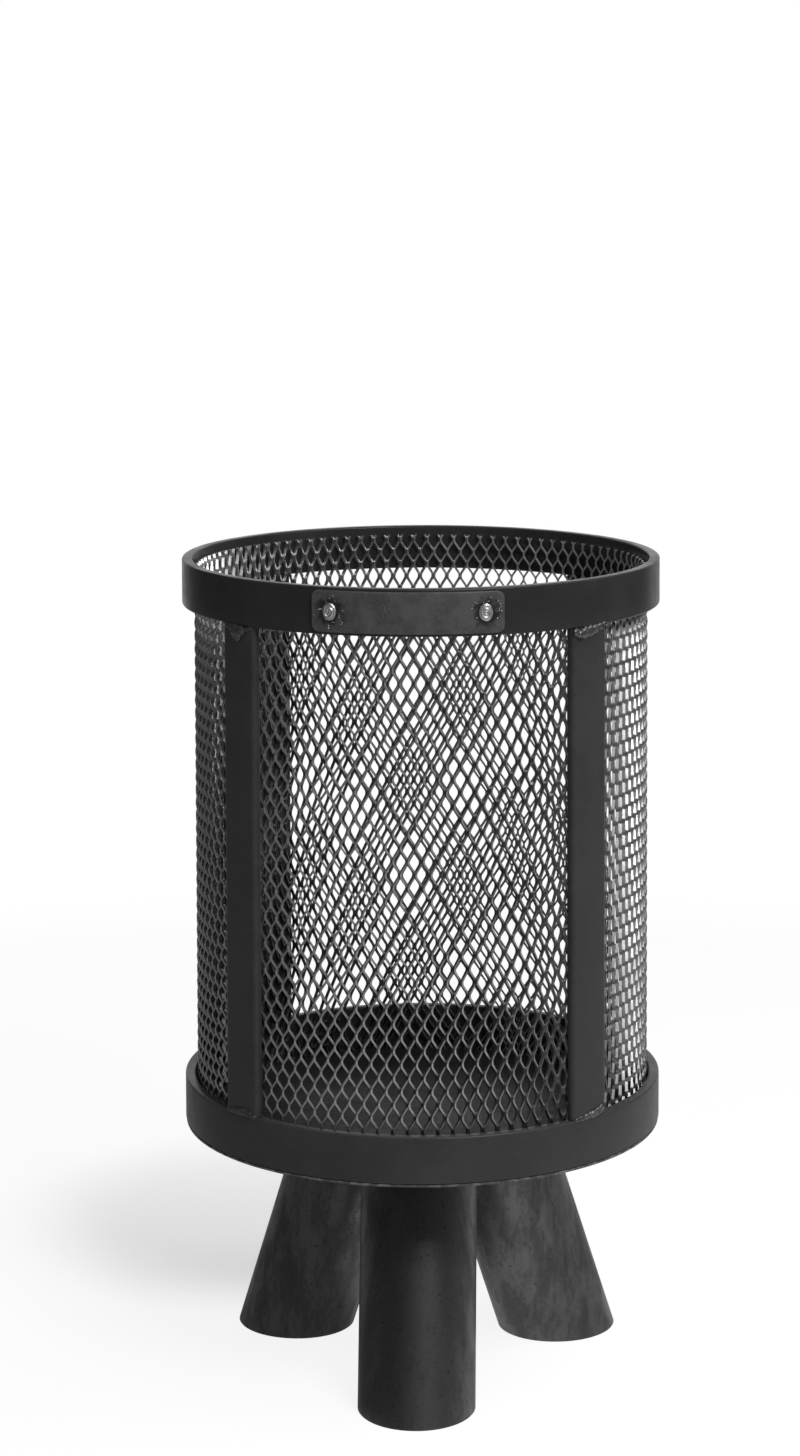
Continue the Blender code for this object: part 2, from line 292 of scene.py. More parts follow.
@dataclass(frozen=True)
class SteelFinish:
    """One finish of the steel. Scales are in turns to a metre.

    Attributes:
        base: linear level of the clean surface, as are cloud, fleck, bare (rubbed edges, and on the expanded
            sheet also the lit side of its painted shade) and scorch.
        roughness: of the clean surface and of the clouds.
        mottle_rise: below 1 draws the clouds out upwards.
        even: how little the wear is broken up.
        relief: depth of the grain's bump, of which wave_share is slow waves.
    """

    name: str
    base: float
    cloud: float
    fleck: float
    bare: float
    metallic: float = 0.0
    specular: float = 0.3
    roughness: Pair = (0.42, 0.6)
    mottle_scale: float = 22.0
    mottle_rise: float = 1.0
    fleck_scale: float = 700.0
    wear: float = 0.5
    even: float = 0.0
    grain_scale: float = 900.0
    relief: float = 0.00006
    wave_share: float = 0.5
    scorch: float | None = None

    def material(self, effects: SharedEffects) -> bpy.types.Material:
        """Builds the material.

        Args:
            effects: the shared shader groups.

        Returns:
            The material, with one Principled shader.
        """
        made = bpy.data.materials.new(self.name)
        made.use_nodes = True
        wires = Wiring(made.node_tree)
        shader = made.node_tree.nodes["Principled BSDF"]
        place = wires.node("TexCoord").outputs["Object"]
        mottle = wires.node("Group", {"Place": place, "Scale": self.mottle_scale, "Rise": self.mottle_rise,
                                      "Fleck Scale": self.fleck_scale}, node_tree=effects.mottle).outputs
        wear = wires.node("Group", {"Place": place, "Edge": wires.layer(WEAR_AND_SHADE_LAYER), "Amount": self.wear,
                                    "Even": self.even}, node_tree=effects.wear).outputs
        grain = wires.node("Group", {"Place": place, "Scale": self.grain_scale,
                                     "Wave Share": self.wave_share}, node_tree=effects.grain).outputs
        colour = wires.blend(mottle["Cloud"], grey(self.base), grey(self.cloud))
        colour = wires.blend(mottle["Fleck"], colour, grey(self.fleck))
        colour = wires.blend(wear["Bare"], colour, grey(self.bare))
        if self.scorch is not None:
            colour = wires.blend(wires.layer(SCORCH_LAYER), colour, grey(self.scorch))
        bump = wires.node("Bump", {"Distance": self.relief, "Height": grain["Height"]})
        wires.feed(shader.inputs["Base Color"], colour)
        wires.feed(shader.inputs["Roughness"], wires.span(mottle["Cloud"], 0.0, 1.0, *self.roughness))
        wires.feed(shader.inputs["Normal"], bump.outputs["Normal"])
        wires.feed(shader.inputs["Metallic"], self.metallic)
        wires.feed(shader.inputs["Specular IOR Level"], self.specular)
        made.diffuse_color = grey(self.base)
        return made


class FinishBook:
    """The materials of the basket, one for each kind of surface."""

    def __init__(self) -> None:
        """Builds the shared groups and every material."""
        effects = SharedEffects()
        # Two copies of one anthracite paint: the rim copy on the top hoop is painted darker, painted shade,
        # and the bar copy on the bottom hoop and uprights is painted lighter, painted light from the floor.
        rim = SteelFinish("anthracite_rim_shaded_copy", 0.025, 0.031, 0.036, 0.06, specular=0.25, roughness=(0.30, 0.40),
                          mottle_scale=16.0, wear=0.3, relief=0.00003)
        bar = replace(rim, name="anthracite_bar_lit_copy", base=0.038, cloud=0.046, fleck=0.050, bare=0.07,
                      roughness=(0.32, 0.42))
        sheet = SteelFinish("anthracite_sheet", 0.020, 0.026, 0.032, 0.24, specular=0.25,
                            roughness=(0.40, 0.52), wear=0.9, even=0.3, relief=0.00003)
        leg = SteelFinish("mill_scale_tube", 0.090, 0.135, 0.06, 0.16, metallic=1.0, roughness=(0.50, 0.37),
                          mottle_scale=60.0, mottle_rise=0.32, fleck_scale=380.0, wear=0.3, relief=0.00004,
                          wave_share=6.0)
        plate = SteelFinish("plate_steel", 0.056, 0.082, 0.12, 0.16, specular=0.4, roughness=(0.34, 0.46),
                            mottle_scale=60.0, wear=0.3, relief=0.00003, scorch=0.006)
        mesh = SteelFinish("expanded_steel", 0.08, 0.12, 0.16, 0.64, metallic=1.0, roughness=(0.36, 0.46),
                           mottle_scale=26.0, fleck_scale=500.0, wear=1.0, even=0.85, relief=0.00002)
        weld = SteelFinish("dull_weld", 0.09, 0.15, 0.20, 0.22, metallic=0.9, roughness=(0.34, 0.50),
                           mottle_scale=160.0, wear=0.6)
        bare = SteelFinish("bare_weld_metal", 0.45, 0.62, 0.7, 0.8, metallic=0.9, roughness=(0.36, 0.50),
                           mottle_scale=300.0, wear=0.6, even=0.4)
        self.rim, self.bar, self.sheet, self.leg, self.plate, self.mesh, self.weld, self.bare = (
            finish.material(effects) for finish in (rim, bar, sheet, leg, plate, mesh, weld, bare))


# Mesh building


class Shell:
    """A closed surface being built from rings of points, with a share of edge wear at each point or face; on
    the expanded sheet that share also carries painted shade.
    """

    def __init__(self) -> None:
        """Starts with no points."""
        self.points: list[Vector] = []
        self.wear: list[float] = []
        self.face_wear_and_shade: list[float] = []
        self.faces: list[tuple[int, ...]] = []

    def ring(self, points: list[Vector], wear: float | list[float] = 0.0) -> list[int]:
        """Adds points in order.

        Args:
            points: the points of the ring.
            wear: their share of wear, one for all or one each.

        Returns:
            The points' numbers.
        """
        first = len(self.points)
        self.points += points
        self.wear += wear if isinstance(wear, list) else [wear] * len(points)
        return list(range(first, len(self.points)))

    def loft(self, rings: list[list[int]], closed: bool = False) -> None:
        """Joins each ring to the next by quads.

        Args:
            rings: rings of as many points each.
            closed: whether the last ring is joined to the first; if not, both ends are capped.
        """
        count = len(rings[0])
        for first, second in zip(rings, rings[1:] + rings[:1] if closed else rings[1:]):
            for place in range(count):
                after = (place + 1) % count
                self.faces.append((first[place], first[after], second[after], second[place]))
        if not closed:
            self.faces += [tuple(rings[0]), tuple(rings[-1])]

    def piece(self, name: str, material: bpy.types.Material, sharp: float = 35.0, azimuth: float = 0.0
              ) -> Piece:
        """Makes the object of the surface.

        Args:
            name: the object's name.
            material: its material.
            sharp: the angle in degrees past which an edge stays sharp.
            azimuth: the angle in degrees that the points are turned by about the basket's axis.

        Returns:
            The object, in the scene.
        """
        mesh = bpy.data.meshes.new(name)
        mesh.from_pydata([tuple(point) for point in self.points], [], self.faces)
        layer = mesh.attributes.new(WEAR_AND_SHADE_LAYER, "FLOAT", "FACE" if self.face_wear_and_shade else "POINT")
        layer.data.foreach_set("value", self.face_wear_and_shade or self.wear)
        bm = bmesh.new()
        bm.from_mesh(mesh)
        bmesh.ops.recalc_face_normals(bm, faces=bm.faces[:])
        bm.to_mesh(mesh)
        bm.free()
        mesh.transform(Matrix.Rotation(math.radians(azimuth), 4, "Z"))
        mesh.materials.append(material)
        mesh.shade_smooth()
        mesh.set_sharp_from_angle(angle=math.radians(sharp))
        return stand(name, mesh)


def rounded_section(width: float, height: float, radius: float, steps: int) -> list[tuple[Vector, float]]:
    """Points of a rectangle with rounded corners, counter-clockwise about its middle.

    Args:
        width: the rectangle's width.
        height: the rectangle's height.
        radius: the corners' radius.
        steps: how many steps each corner has.

    Returns:
        Each point with its wear: 1 on the corners' arcs, less at their ends.
    """
    points = []
    for quarter, (side, up) in enumerate(((1, 1), (-1, 1), (-1, -1), (1, -1))):
        centre = Vector((side * (width / 2 - radius), up * (height / 2 - radius)))
        for step in range(steps + 1):
            angle = math.pi / 2 * (quarter + step / steps)
            wear = math.sin(math.pi * step / steps) ** 0.5 if 0 < step < steps else 0.0
            points.append((centre + radius * Vector((math.cos(angle), math.sin(angle))), wear))
    return points


def dress(piece: Piece, node: str, slot: Slot) -> None:
    """Seats a piece in the frame: it rides and stands for a node, whose imported object is hidden.

    Args:
        piece: the finished object.
        node: the node that it stands for.
        slot: the record's material slot; not used.
    """
    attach(piece, BODY)
    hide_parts(node)
    LOG.info("%s: %d points, stands for %s", piece.name, len(piece.data.vertices), node)


# Sub-assemblies


@dataclass
class BarFrame:
    """The two flat-bar hoops and the four uprights between them."""

    finishes: FinishBook
    bar_thickness: float = 0.008
    hoop_edge_radius: float = 0.0014
    upright_edge_radius: float = 0.0034
    upright_inset: float = 0.0008
    edge_steps: int = 4
    hoop_facets: int = 288
    upright_stations: int = 60
    uprights: tuple[tuple[str, float], ...] = (("front_left", -45.0), ("front_right", 45.0),
                                               ("rear_right", 135.0), ("rear_left", -135.0))

    def __post_init__(self) -> None:
        """Reads the hoops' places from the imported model."""
        low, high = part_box("top_hoop")
        self.outer_radius = high.x
        self.bar_width = high.z - low.z
        self.top_low = low.z
        self.bottom_low, self.bottom_high = (corner.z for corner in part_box("bottom_hoop"))
        self.face_radius = self.outer_radius - self.upright_inset

    def hoop(self, node: str, low: float, finish: bpy.types.Material) -> None:
        """A bar rolled into a ring.

        Args:
            node: the node that it stands for.
            low: the height of its lower edge.
            finish: its material.
        """
        shell = Shell()
        section = rounded_section(self.bar_thickness, self.bar_width, self.hoop_edge_radius, self.edge_steps)
        middle = self.outer_radius - self.bar_thickness / 2
        centre = low + self.bar_width / 2
        rings = []
        for step in range(self.hoop_facets):
            angle = TURN * step / self.hoop_facets
            points = [polar(middle + point.x, angle, centre + point.y) for point, _ in section]
            rings.append(shell.ring(points, [wear for _, wear in section]))
        shell.loft(rings, closed=True)
        dress(shell.piece(node + "_bar", finish), node, Slot.HOOP)

    def upright(self, side: str, azimuth: float) -> None:
        """A flat bar between the hoops, its sawn ends hidden at their edges.

        Args:
            side: where it stands, as in its node's name.
            azimuth: its angle from the front, in degrees.
        """
        node = "upright_" + side
        low, high = (corner.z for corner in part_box(node))
        shell = Shell()
        width, depth = self.bar_width, self.bar_thickness
        section = rounded_section(width, depth, self.upright_edge_radius, self.edge_steps)
        middle = self.face_radius - depth / 2
        rings = []
        for station in range(self.upright_stations + 1):
            height = low + (high - low) * station / self.upright_stations
            points = [Vector((point.x, -(middle + point.y), height)) for point, _ in section]
            rings.append(shell.ring(points, [wear for _, wear in section]))
        shell.loft(rings)
        dress(shell.piece(node + "_bar", self.finishes.bar, azimuth=azimuth), node, Slot.HOOP)

    def build(self) -> None:
        """Builds both hoops and the uprights."""
        # The top hoop gets the darker copy of the paint (painted shade), the bottom hoop and uprights the
        # lighter one (painted light).
        self.hoop("top_hoop", self.top_low, self.finishes.rim)
        self.hoop("bottom_hoop", self.bottom_low, self.finishes.bar)
        for side, azimuth in self.uprights:
            self.upright(side, azimuth)


@dataclass
class BaseSheet:
    """The round sheet under the bottom hoop."""

    finishes: FinishBook
    edge_radius: float = 0.0006
    facets: int = 288
    rings: int = 24

    def build(self) -> None:
        """Builds the sheet."""
        low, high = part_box("base_plate")
        rim, bottom, top = high.x, low.z, high.z
        soft = self.edge_radius
        cut = CORNER_CUT * soft
        inner = [(rim - soft) * (1.0 - ring / self.rings) for ring in range(1, self.rings)]
        profile = [(radius, bottom, 0.0) for radius in reversed(inner)]
        profile += [(rim - soft, bottom, 0.3), (rim - cut, bottom + cut, 1.0), (rim, bottom + soft, 0.8)]
        profile += [(rim, top - soft, 0.8), (rim - cut, top - cut, 1.0), (rim - soft, top, 0.3)]
        profile += [(radius, top, 0.0) for radius in inner]
        shell = Shell()
        loops = []
        for radius, height, wear in profile:
            points = [polar(radius, TURN * step / self.facets, height) for step in range(self.facets)]
            loops.append(shell.ring(points, wear))
        shell.loft(loops)
        dress(shell.piece("base_sheet", self.finishes.sheet), "base_plate", Slot.HOOP)


@dataclass
class ExpandedSheet:
    """The rolled sheet of expanded metal at its true pitch.

    The sheet is a row of ribbons that zigzag: at one level a ribbon is joined on its right to the next
    one, and at the level above to the one on its left. A joint is a bond. The ribbons' flats all lean
    the same way, so that the right edge of each bond stands out, as in raised expanded metal.

    Attributes:
        rise: from one level of bonds to the next.
        turned: where the first ribbon starts, in ribbons from the front.
        bends: shares of the way up and across at which a strand bends.
        bend_pace: how steep a strand is at a bend, as a share of its slope there.
        sheared: how bare the metal of each side of a strand is.
        rising_shade_share: how much of that is left on the right side of a strand that rises to the right;
            that side looks down and is painted darker, painted shade.
        inner_shadow_heights: the heights between which the inner flats go from a painted shadow, dark below,
            to bare metal above.
    """

    finishes: FinishBook
    columns: int = 98
    rise: float = 0.010055
    first_bond: float = 0.18699
    top: float = 0.6233
    strand_width: float = 0.0024
    thickness: float = 0.0015
    lean: float = math.radians(60.0)
    bond_length: float = 0.0018
    bulge: float = 0.00015
    turned: float = 0.43
    bends: tuple[Pair, ...] = ((0.16, 0.10), (0.84, 0.90))
    bend_pace: float = 0.85
    sheared: tuple[float, ...] = (1.0, 1.0, 0.0, 1.0, 1.0, 0.45)
    rising_shade_share: float = 0.55
    inner_shadow_heights: Pair = (0.555, 0.606)
    panels: tuple[str, ...] = ("right", "rear", "left", "front")
    cell_margin: float = 0.08

    def __post_init__(self) -> None:
        """Works out the radius and the pitches from the sheet's box."""
        low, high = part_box("basket_mesh")
        self.low = low.z
        self.ribbons = 2 * self.columns
        self.step = TURN / self.ribbons
        self.radius = high.x - self.strand_width * math.sin(self.lean)
        self.radius -= self.thickness / 2 * math.cos(self.lean)
        self.stroke = self.radius * self.step * math.sin(self.lean)
        self.span = self.rise - self.bond_length

    def stations(self) -> list[tuple[int, float | None, float]]:
        """The heights at which every ribbon has a section.

        Returns:
            For each its level, its share of the way to the next level, or None at a bond, and its height.
        """
        found = []
        level = 0
        while self.first_bond + level * self.rise < self.top:
            middle = self.first_bond + level * self.rise
            found.append((level, None, middle - self.bond_length / 2))
            found.append((level, None, middle + self.bond_length / 2))
            cuts = [(edge - middle - self.bond_length / 2) / self.span for edge in (self.low, self.top)]
            shares = sorted([share for share, _ in self.bends] + [cut for cut in cuts if 0.0 < cut < 1.0])
            found += [(level, share, middle + self.bond_length / 2 + self.span * share) for share in shares]
            level += 1
        return [station for station in found if self.low - HAIR <= station[2] <= self.top + HAIR]

    def stray(self, share: float) -> Pair:
        """How far a strand has strayed from one bond line to the next, and how fast it does so there.

        Args:
            share: its share of the way up.

        Returns:
            The share of the way across, and its rate.
        """
        points = [(0.0, 0.0), *self.bends, (1.0, 1.0)]
        for (low, first), (high, second) in zip(points, points[1:]):
            if share <= high:
                break
        pace = (second - first) / (high - low)
        at_bend = min(abs(share - low), abs(high - share)) < HAIR
        return first + (share - low) * pace, pace * self.bend_pace if at_bend else pace

    def corner(self, angle: float, height: float, along: float, out: float, slope: float) -> Vector:
        """A point of a ribbon.

        Args:
            angle: the angle of the bond line that the ribbon is measured from.
            height: the height of the section's middle.
            along: how far across the ribbon, to the right and outwards.
            out: how far through its thickness, outwards and to the left.
            slope: how steeply the ribbon steps along the lean here.

        Returns:
            The point.
        """
        tilt = math.hypot(1.0, slope)
        flat = out / tilt
        sideways = along * math.cos(self.lean) - flat * math.sin(self.lean)
        radius = self.radius + along * math.sin(self.lean) + flat * math.cos(self.lean)
        return polar(radius, angle + sideways / self.radius, height + out * slope / tilt)

    def section(self) -> list[Pair]:
        """The six corners of a strand: its two flats, and on each side a sheared face that swells.

        Returns:
            For each how far it lies along and out.
        """
        half, depth, bulge = self.strand_width / 2, self.thickness / 2, self.bulge
        return [(half - bulge, depth), (half, 0.0), (half - bulge, -depth),
                (bulge - half, -depth), (-half, 0.0), (bulge - half, depth)]

    def bareness(self, rising: bool, height: float) -> list[float]:
        """How bare the metal of each side of a strand is, with painted shade on the inner flat low down and
        on the right side of a rising strand.

        Args:
            rising: whether the strand rises to the right, so that its right side looks down and is painted
                darker.
            height: where it lies, which sets how dark the inner flat's painted shadow is.

        Returns:
            A share for each side of the section.
        """
        shares = list(self.sheared)
        # Painted shadow: the inner flat is dark low down and bare near the top.
        low, high = self.inner_shadow_heights
        shares[2] = smooth_step((height - low) / (high - low))
        # Painted shade: the right side of a rising strand, which looks down, is painted darker.
        if rising:
            shares[0] *= self.rising_shade_share
            shares[1] *= self.rising_shade_share
        return shares

    def panel(self, order: int) -> None:
        """One quarter of the sheet, its side edges behind two uprights.

        Args:
            order: which quarter.
        """
        width = self.ribbons // len(self.panels)
        start = width // 2 + 1 + order * width
        inside = range(start, start + width)
        section = self.section()
        sides = len(section)
        heights = self.stations()
        shell = Shell()
        seams: dict[tuple[int, float], list[int]] = {}
        cells: list[Pair] = []

        def seam(line: int, height: float) -> list[int]:
            """The three shared points where two ribbons are joined.

            Args:
                line: the bond line's number.
                height: the station's height.

            Returns:
                The points' numbers, from the outside in.
            """
            if (line, height) not in seams:
                outs = (self.thickness / 2, 0.0, -self.thickness / 2)
                angle = (line + self.turned) * self.step
                seams[line, height] = shell.ring([self.corner(angle, height, 0.0, out, 0.0) for out in outs])
            return seams[line, height]

        def ring(ribbon: int, level: int, share: float | None, height: float) -> list[int]:
            """A ribbon's section at a bond, or at a share of the way up to the next one.

            Args:
                ribbon: the ribbon's number.
                level: the level of the bond, or of the one below.
                share: the share of the way up, or None at a bond.
                height: the station's height.

            Returns:
                The points' numbers.
            """
            joins_right = (level + ribbon) % 2 == 0
            side = -1.0 if joins_right else 1.0
            gone, pace = (0.0, 0.0) if share is None else self.stray(share)
            angle = (ribbon + joins_right + side * gone + self.turned) * self.step
            middle = side * (1.0 - 2.0 * gone) * self.strand_width / 2
            slope = side * pace * self.stroke / self.span
            points = [self.corner(angle, height, middle + along, out, slope) for along, out in section]
            if share is not None:
                return shell.ring(points)
            shared = seam(ribbon + joins_right, height)
            return shared + shell.ring(points[3:]) if joins_right else shell.ring(points[:3]) + shared[::-1]

        for place, ribbon in enumerate(inside):
            rings = [ring(ribbon, *station) for station in heights]
            for count, (first, second, here, after) in enumerate(zip(rings, rings[1:], heights, heights[1:])):
                joins_right = (here[0] + ribbon) % 2 == 0
                bond = here[1] is None and after[1] is None
                joined: tuple[int, ...] = ()
                if bond and (ribbon + 1 if joins_right else ribbon - 1) in inside:
                    joined = (0, 1) if joins_right else (3, 4)
                # Painted shade: the face wear darkens the inner flats low down and the right sides of rising
                # strands.
                bare = self.bareness(not bond and not joins_right, here[2])
                for side in (side for side in range(sides) if side not in joined):
                    following = (side + 1) % sides
                    shell.faces.append((first[side], first[following], second[following], second[side]))
                    shell.face_wear_and_shade.append(bare[side])
                    cells.append((place + side / sides, count))
            for number, end in enumerate((rings[0], rings[-1])):
                shell.faces.append(tuple(end))
                shell.face_wear_and_shade.append(1.0)
                cells.append((place + number / 2, len(heights)))
        piece = shell.piece("mesh_panel_" + self.panels[order], self.finishes.mesh, sharp=38.0)
        self.lay_out(piece.data, cells, Vector((1.0 / width, 1.0 / (len(heights) + 1))), sides)
        dress(piece, "basket_mesh", Slot.MESH)

    def lay_out(self, mesh: bpy.types.Mesh, cells: list[Pair], size: Vector, sides: int) -> None:
        """Gives each face a cell of its own on a UV map for textures.

        Args:
            mesh: the panel's mesh.
            cells: for each face, its place across, in ribbons, and up, in stations.
            size: how wide a ribbon and how tall a station is on the map.
            sides: how many cells a ribbon has at a station.
        """
        low, high = self.cell_margin, 1.0 - self.cell_margin
        corners = ((low, low), (high, low), (high, high), (low, high))
        places = []
        for face, (column, row) in zip(mesh.polygons, cells):
            for corner in range(face.loop_total):
                angle = TURN * corner / face.loop_total
                across, up = corners[corner] if face.loop_total == 4 else (
                    0.5 + 0.4 * math.cos(angle), 0.5 + 0.4 * math.sin(angle))
                places += [(column + across / sides) * size.x, (row + up) * size.y]
        mesh.uv_layers.new(name=BAKE_MAP).uv.foreach_set("vector", places)

    def build(self) -> None:
        """Builds the four quarters."""
        for order in range(len(self.panels)):
            self.panel(order)


@dataclass
class TubeLegs:
    """The three splayed tubes and the welds that hold them under the base sheet."""

    finishes: FinishBook
    tube_diameter: float = 0.0889
    wall: float = 0.003
    splay: float = math.radians(19.3)
    top_spacing: float = 0.0045
    rim_radius: float = 0.0005
    facets: int = 128
    rings: int = 24
    bead_size: float = 0.005
    bead_reach: float = math.radians(108.0)
    bead_stations: int = 150
    bead_steps: int = 8
    bead_least: float = 0.80
    bead_end: float = 0.15
    bead_crown: float = 0.12
    ripples: int = 34
    ripple_share: float = 0.10
    lump_share: float = 0.12
    lump_scale: float = 7.0
    phase_step: float = 1.7
    legs: tuple[tuple[str, float], ...] = (("front", 0.0), ("rear_right", 120.0), ("rear_left", -120.0))

    def __post_init__(self) -> None:
        """Works out where the legs' axes meet the base sheet."""
        self.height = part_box("leg_front")[1].z
        self.outer = self.tube_diameter / 2
        along = self.outer / math.cos(self.splay) * math.cos(math.pi / 3)
        across = self.outer * math.sin(math.pi / 3)
        self.top_radius = (2 * math.hypot(along, across) + self.top_spacing) / math.sqrt(3)

    def point(self, radius: float, angle: float, height: float) -> Vector:
        """A point on a cylinder about the front leg's axis.

        Args:
            radius: the cylinder's radius.
            angle: the angle about the leg's axis.
            height: the height of the level plane that it lies in.

        Returns:
            The point.
        """
        outward = self.top_radius + (self.height - height) * math.tan(self.splay)
        along = outward + radius / math.cos(self.splay) * math.cos(angle)
        return Vector((radius * math.sin(angle), -along, height))

    def tube(self, side: str, azimuth: float) -> None:
        """A tube cut level at both ends, its cut rims broken by a file.

        Args:
            side: where it stands, as in its node's name.
            azimuth: its angle from the front, in degrees.
        """
        outer, top, soft = self.outer, self.height, self.rim_radius
        inner = outer - self.wall
        levels = [soft + (top - 2 * soft) * ring / self.rings for ring in range(self.rings + 1)]
        profile = [(outer - soft, 0.0, 1.0), (outer, soft, 0.7)]
        profile += [(outer, height, 0.0) for height in levels[1:]]
        profile += [(outer - soft, top, 1.0), (inner + soft, top, 1.0)]
        profile += [(inner, height, 0.0) for height in reversed(levels)] + [(inner + soft, 0.0, 1.0)]
        shell = Shell()
        loops = []
        for radius, height, wear in profile:
            points = [self.point(radius, TURN * step / self.facets, height) for step in range(self.facets)]
            loops.append(shell.ring(points, wear))
        shell.loft(loops, closed=True)
        dress(shell.piece(f"leg_{side}_tube", self.finishes.leg, azimuth=azimuth), "leg_" + side, Slot.LEG)

    def bead(self, side: str, azimuth: float, phase: float) -> None:
        """The rippled fillet weld round a leg's outer side, in the corner under the base sheet.

        Args:
            side: where the leg stands.
            azimuth: the leg's angle from the front, in degrees.
            phase: where the ripples start.
        """
        shell = Shell()
        loops = []
        seat = self.outer + SEAT_GAP
        for station in range(self.bead_stations + 1):
            share = 2.0 * station / self.bead_stations - 1.0
            angle = share * self.bead_reach
            ripple = 0.5 + 0.5 * math.cos(self.ripples * angle + phase)
            lump = noise.noise(Vector((self.lump_scale * angle, phase, 0.0)))
            fade = max(math.sqrt(max(0.0, 1.0 - share**8)), self.bead_end)
            size = self.bead_least + self.ripple_share * ripple + self.lump_share * lump
            size *= self.bead_size * fade
            points = []
            for step in range(self.bead_steps + 1):
                turn = math.pi / 2 * step / self.bead_steps
                swell = size * (1.0 + self.bead_crown * math.sin(2 * turn))
                points.append(self.point(seat + swell * math.cos(turn), angle,
                                         self.height - swell * math.sin(turn)))
            points.append(self.point(seat, angle, self.height))
            loops.append(shell.ring(points, 0.5 * ripple))
        shell.loft(loops)
        piece = shell.piece(f"leg_{side}_bead", self.finishes.weld, azimuth=azimuth)
        dress(piece, "leg_bead_" + side, Slot.WELD)

    def build(self) -> None:
        """Builds the legs and their welds."""
        for order, (side, azimuth) in enumerate(self.legs):
            self.tube(side, azimuth)
            self.bead(side, azimuth, self.phase_step * order)


@dataclass(frozen=True)
class Puddle:
    """A lump of a weld: its place along and down from the seam, its half sizes and how far it stands out."""

    along: float
    down: float
    half_width: float
    half_height: float
    out: float


@dataclass(frozen=True)
class Weld:
    """One weld at an end of an upright.

    Attributes:
        node: the node that it stands for.
        azimuth: the upright's angle from the front, in degrees.
        puddles: its lumps.
        seam: the height of the seam.
        direction: -1 where it hangs below its seam, 1 where it lies above.
        mirror: 1, or -1 to run the other way.
        seed: moves the unevenness.
    """

    node: str
    azimuth: float
    puddles: tuple[Puddle, ...]
    seam: float
    direction: float
    mirror: float
    seed: float


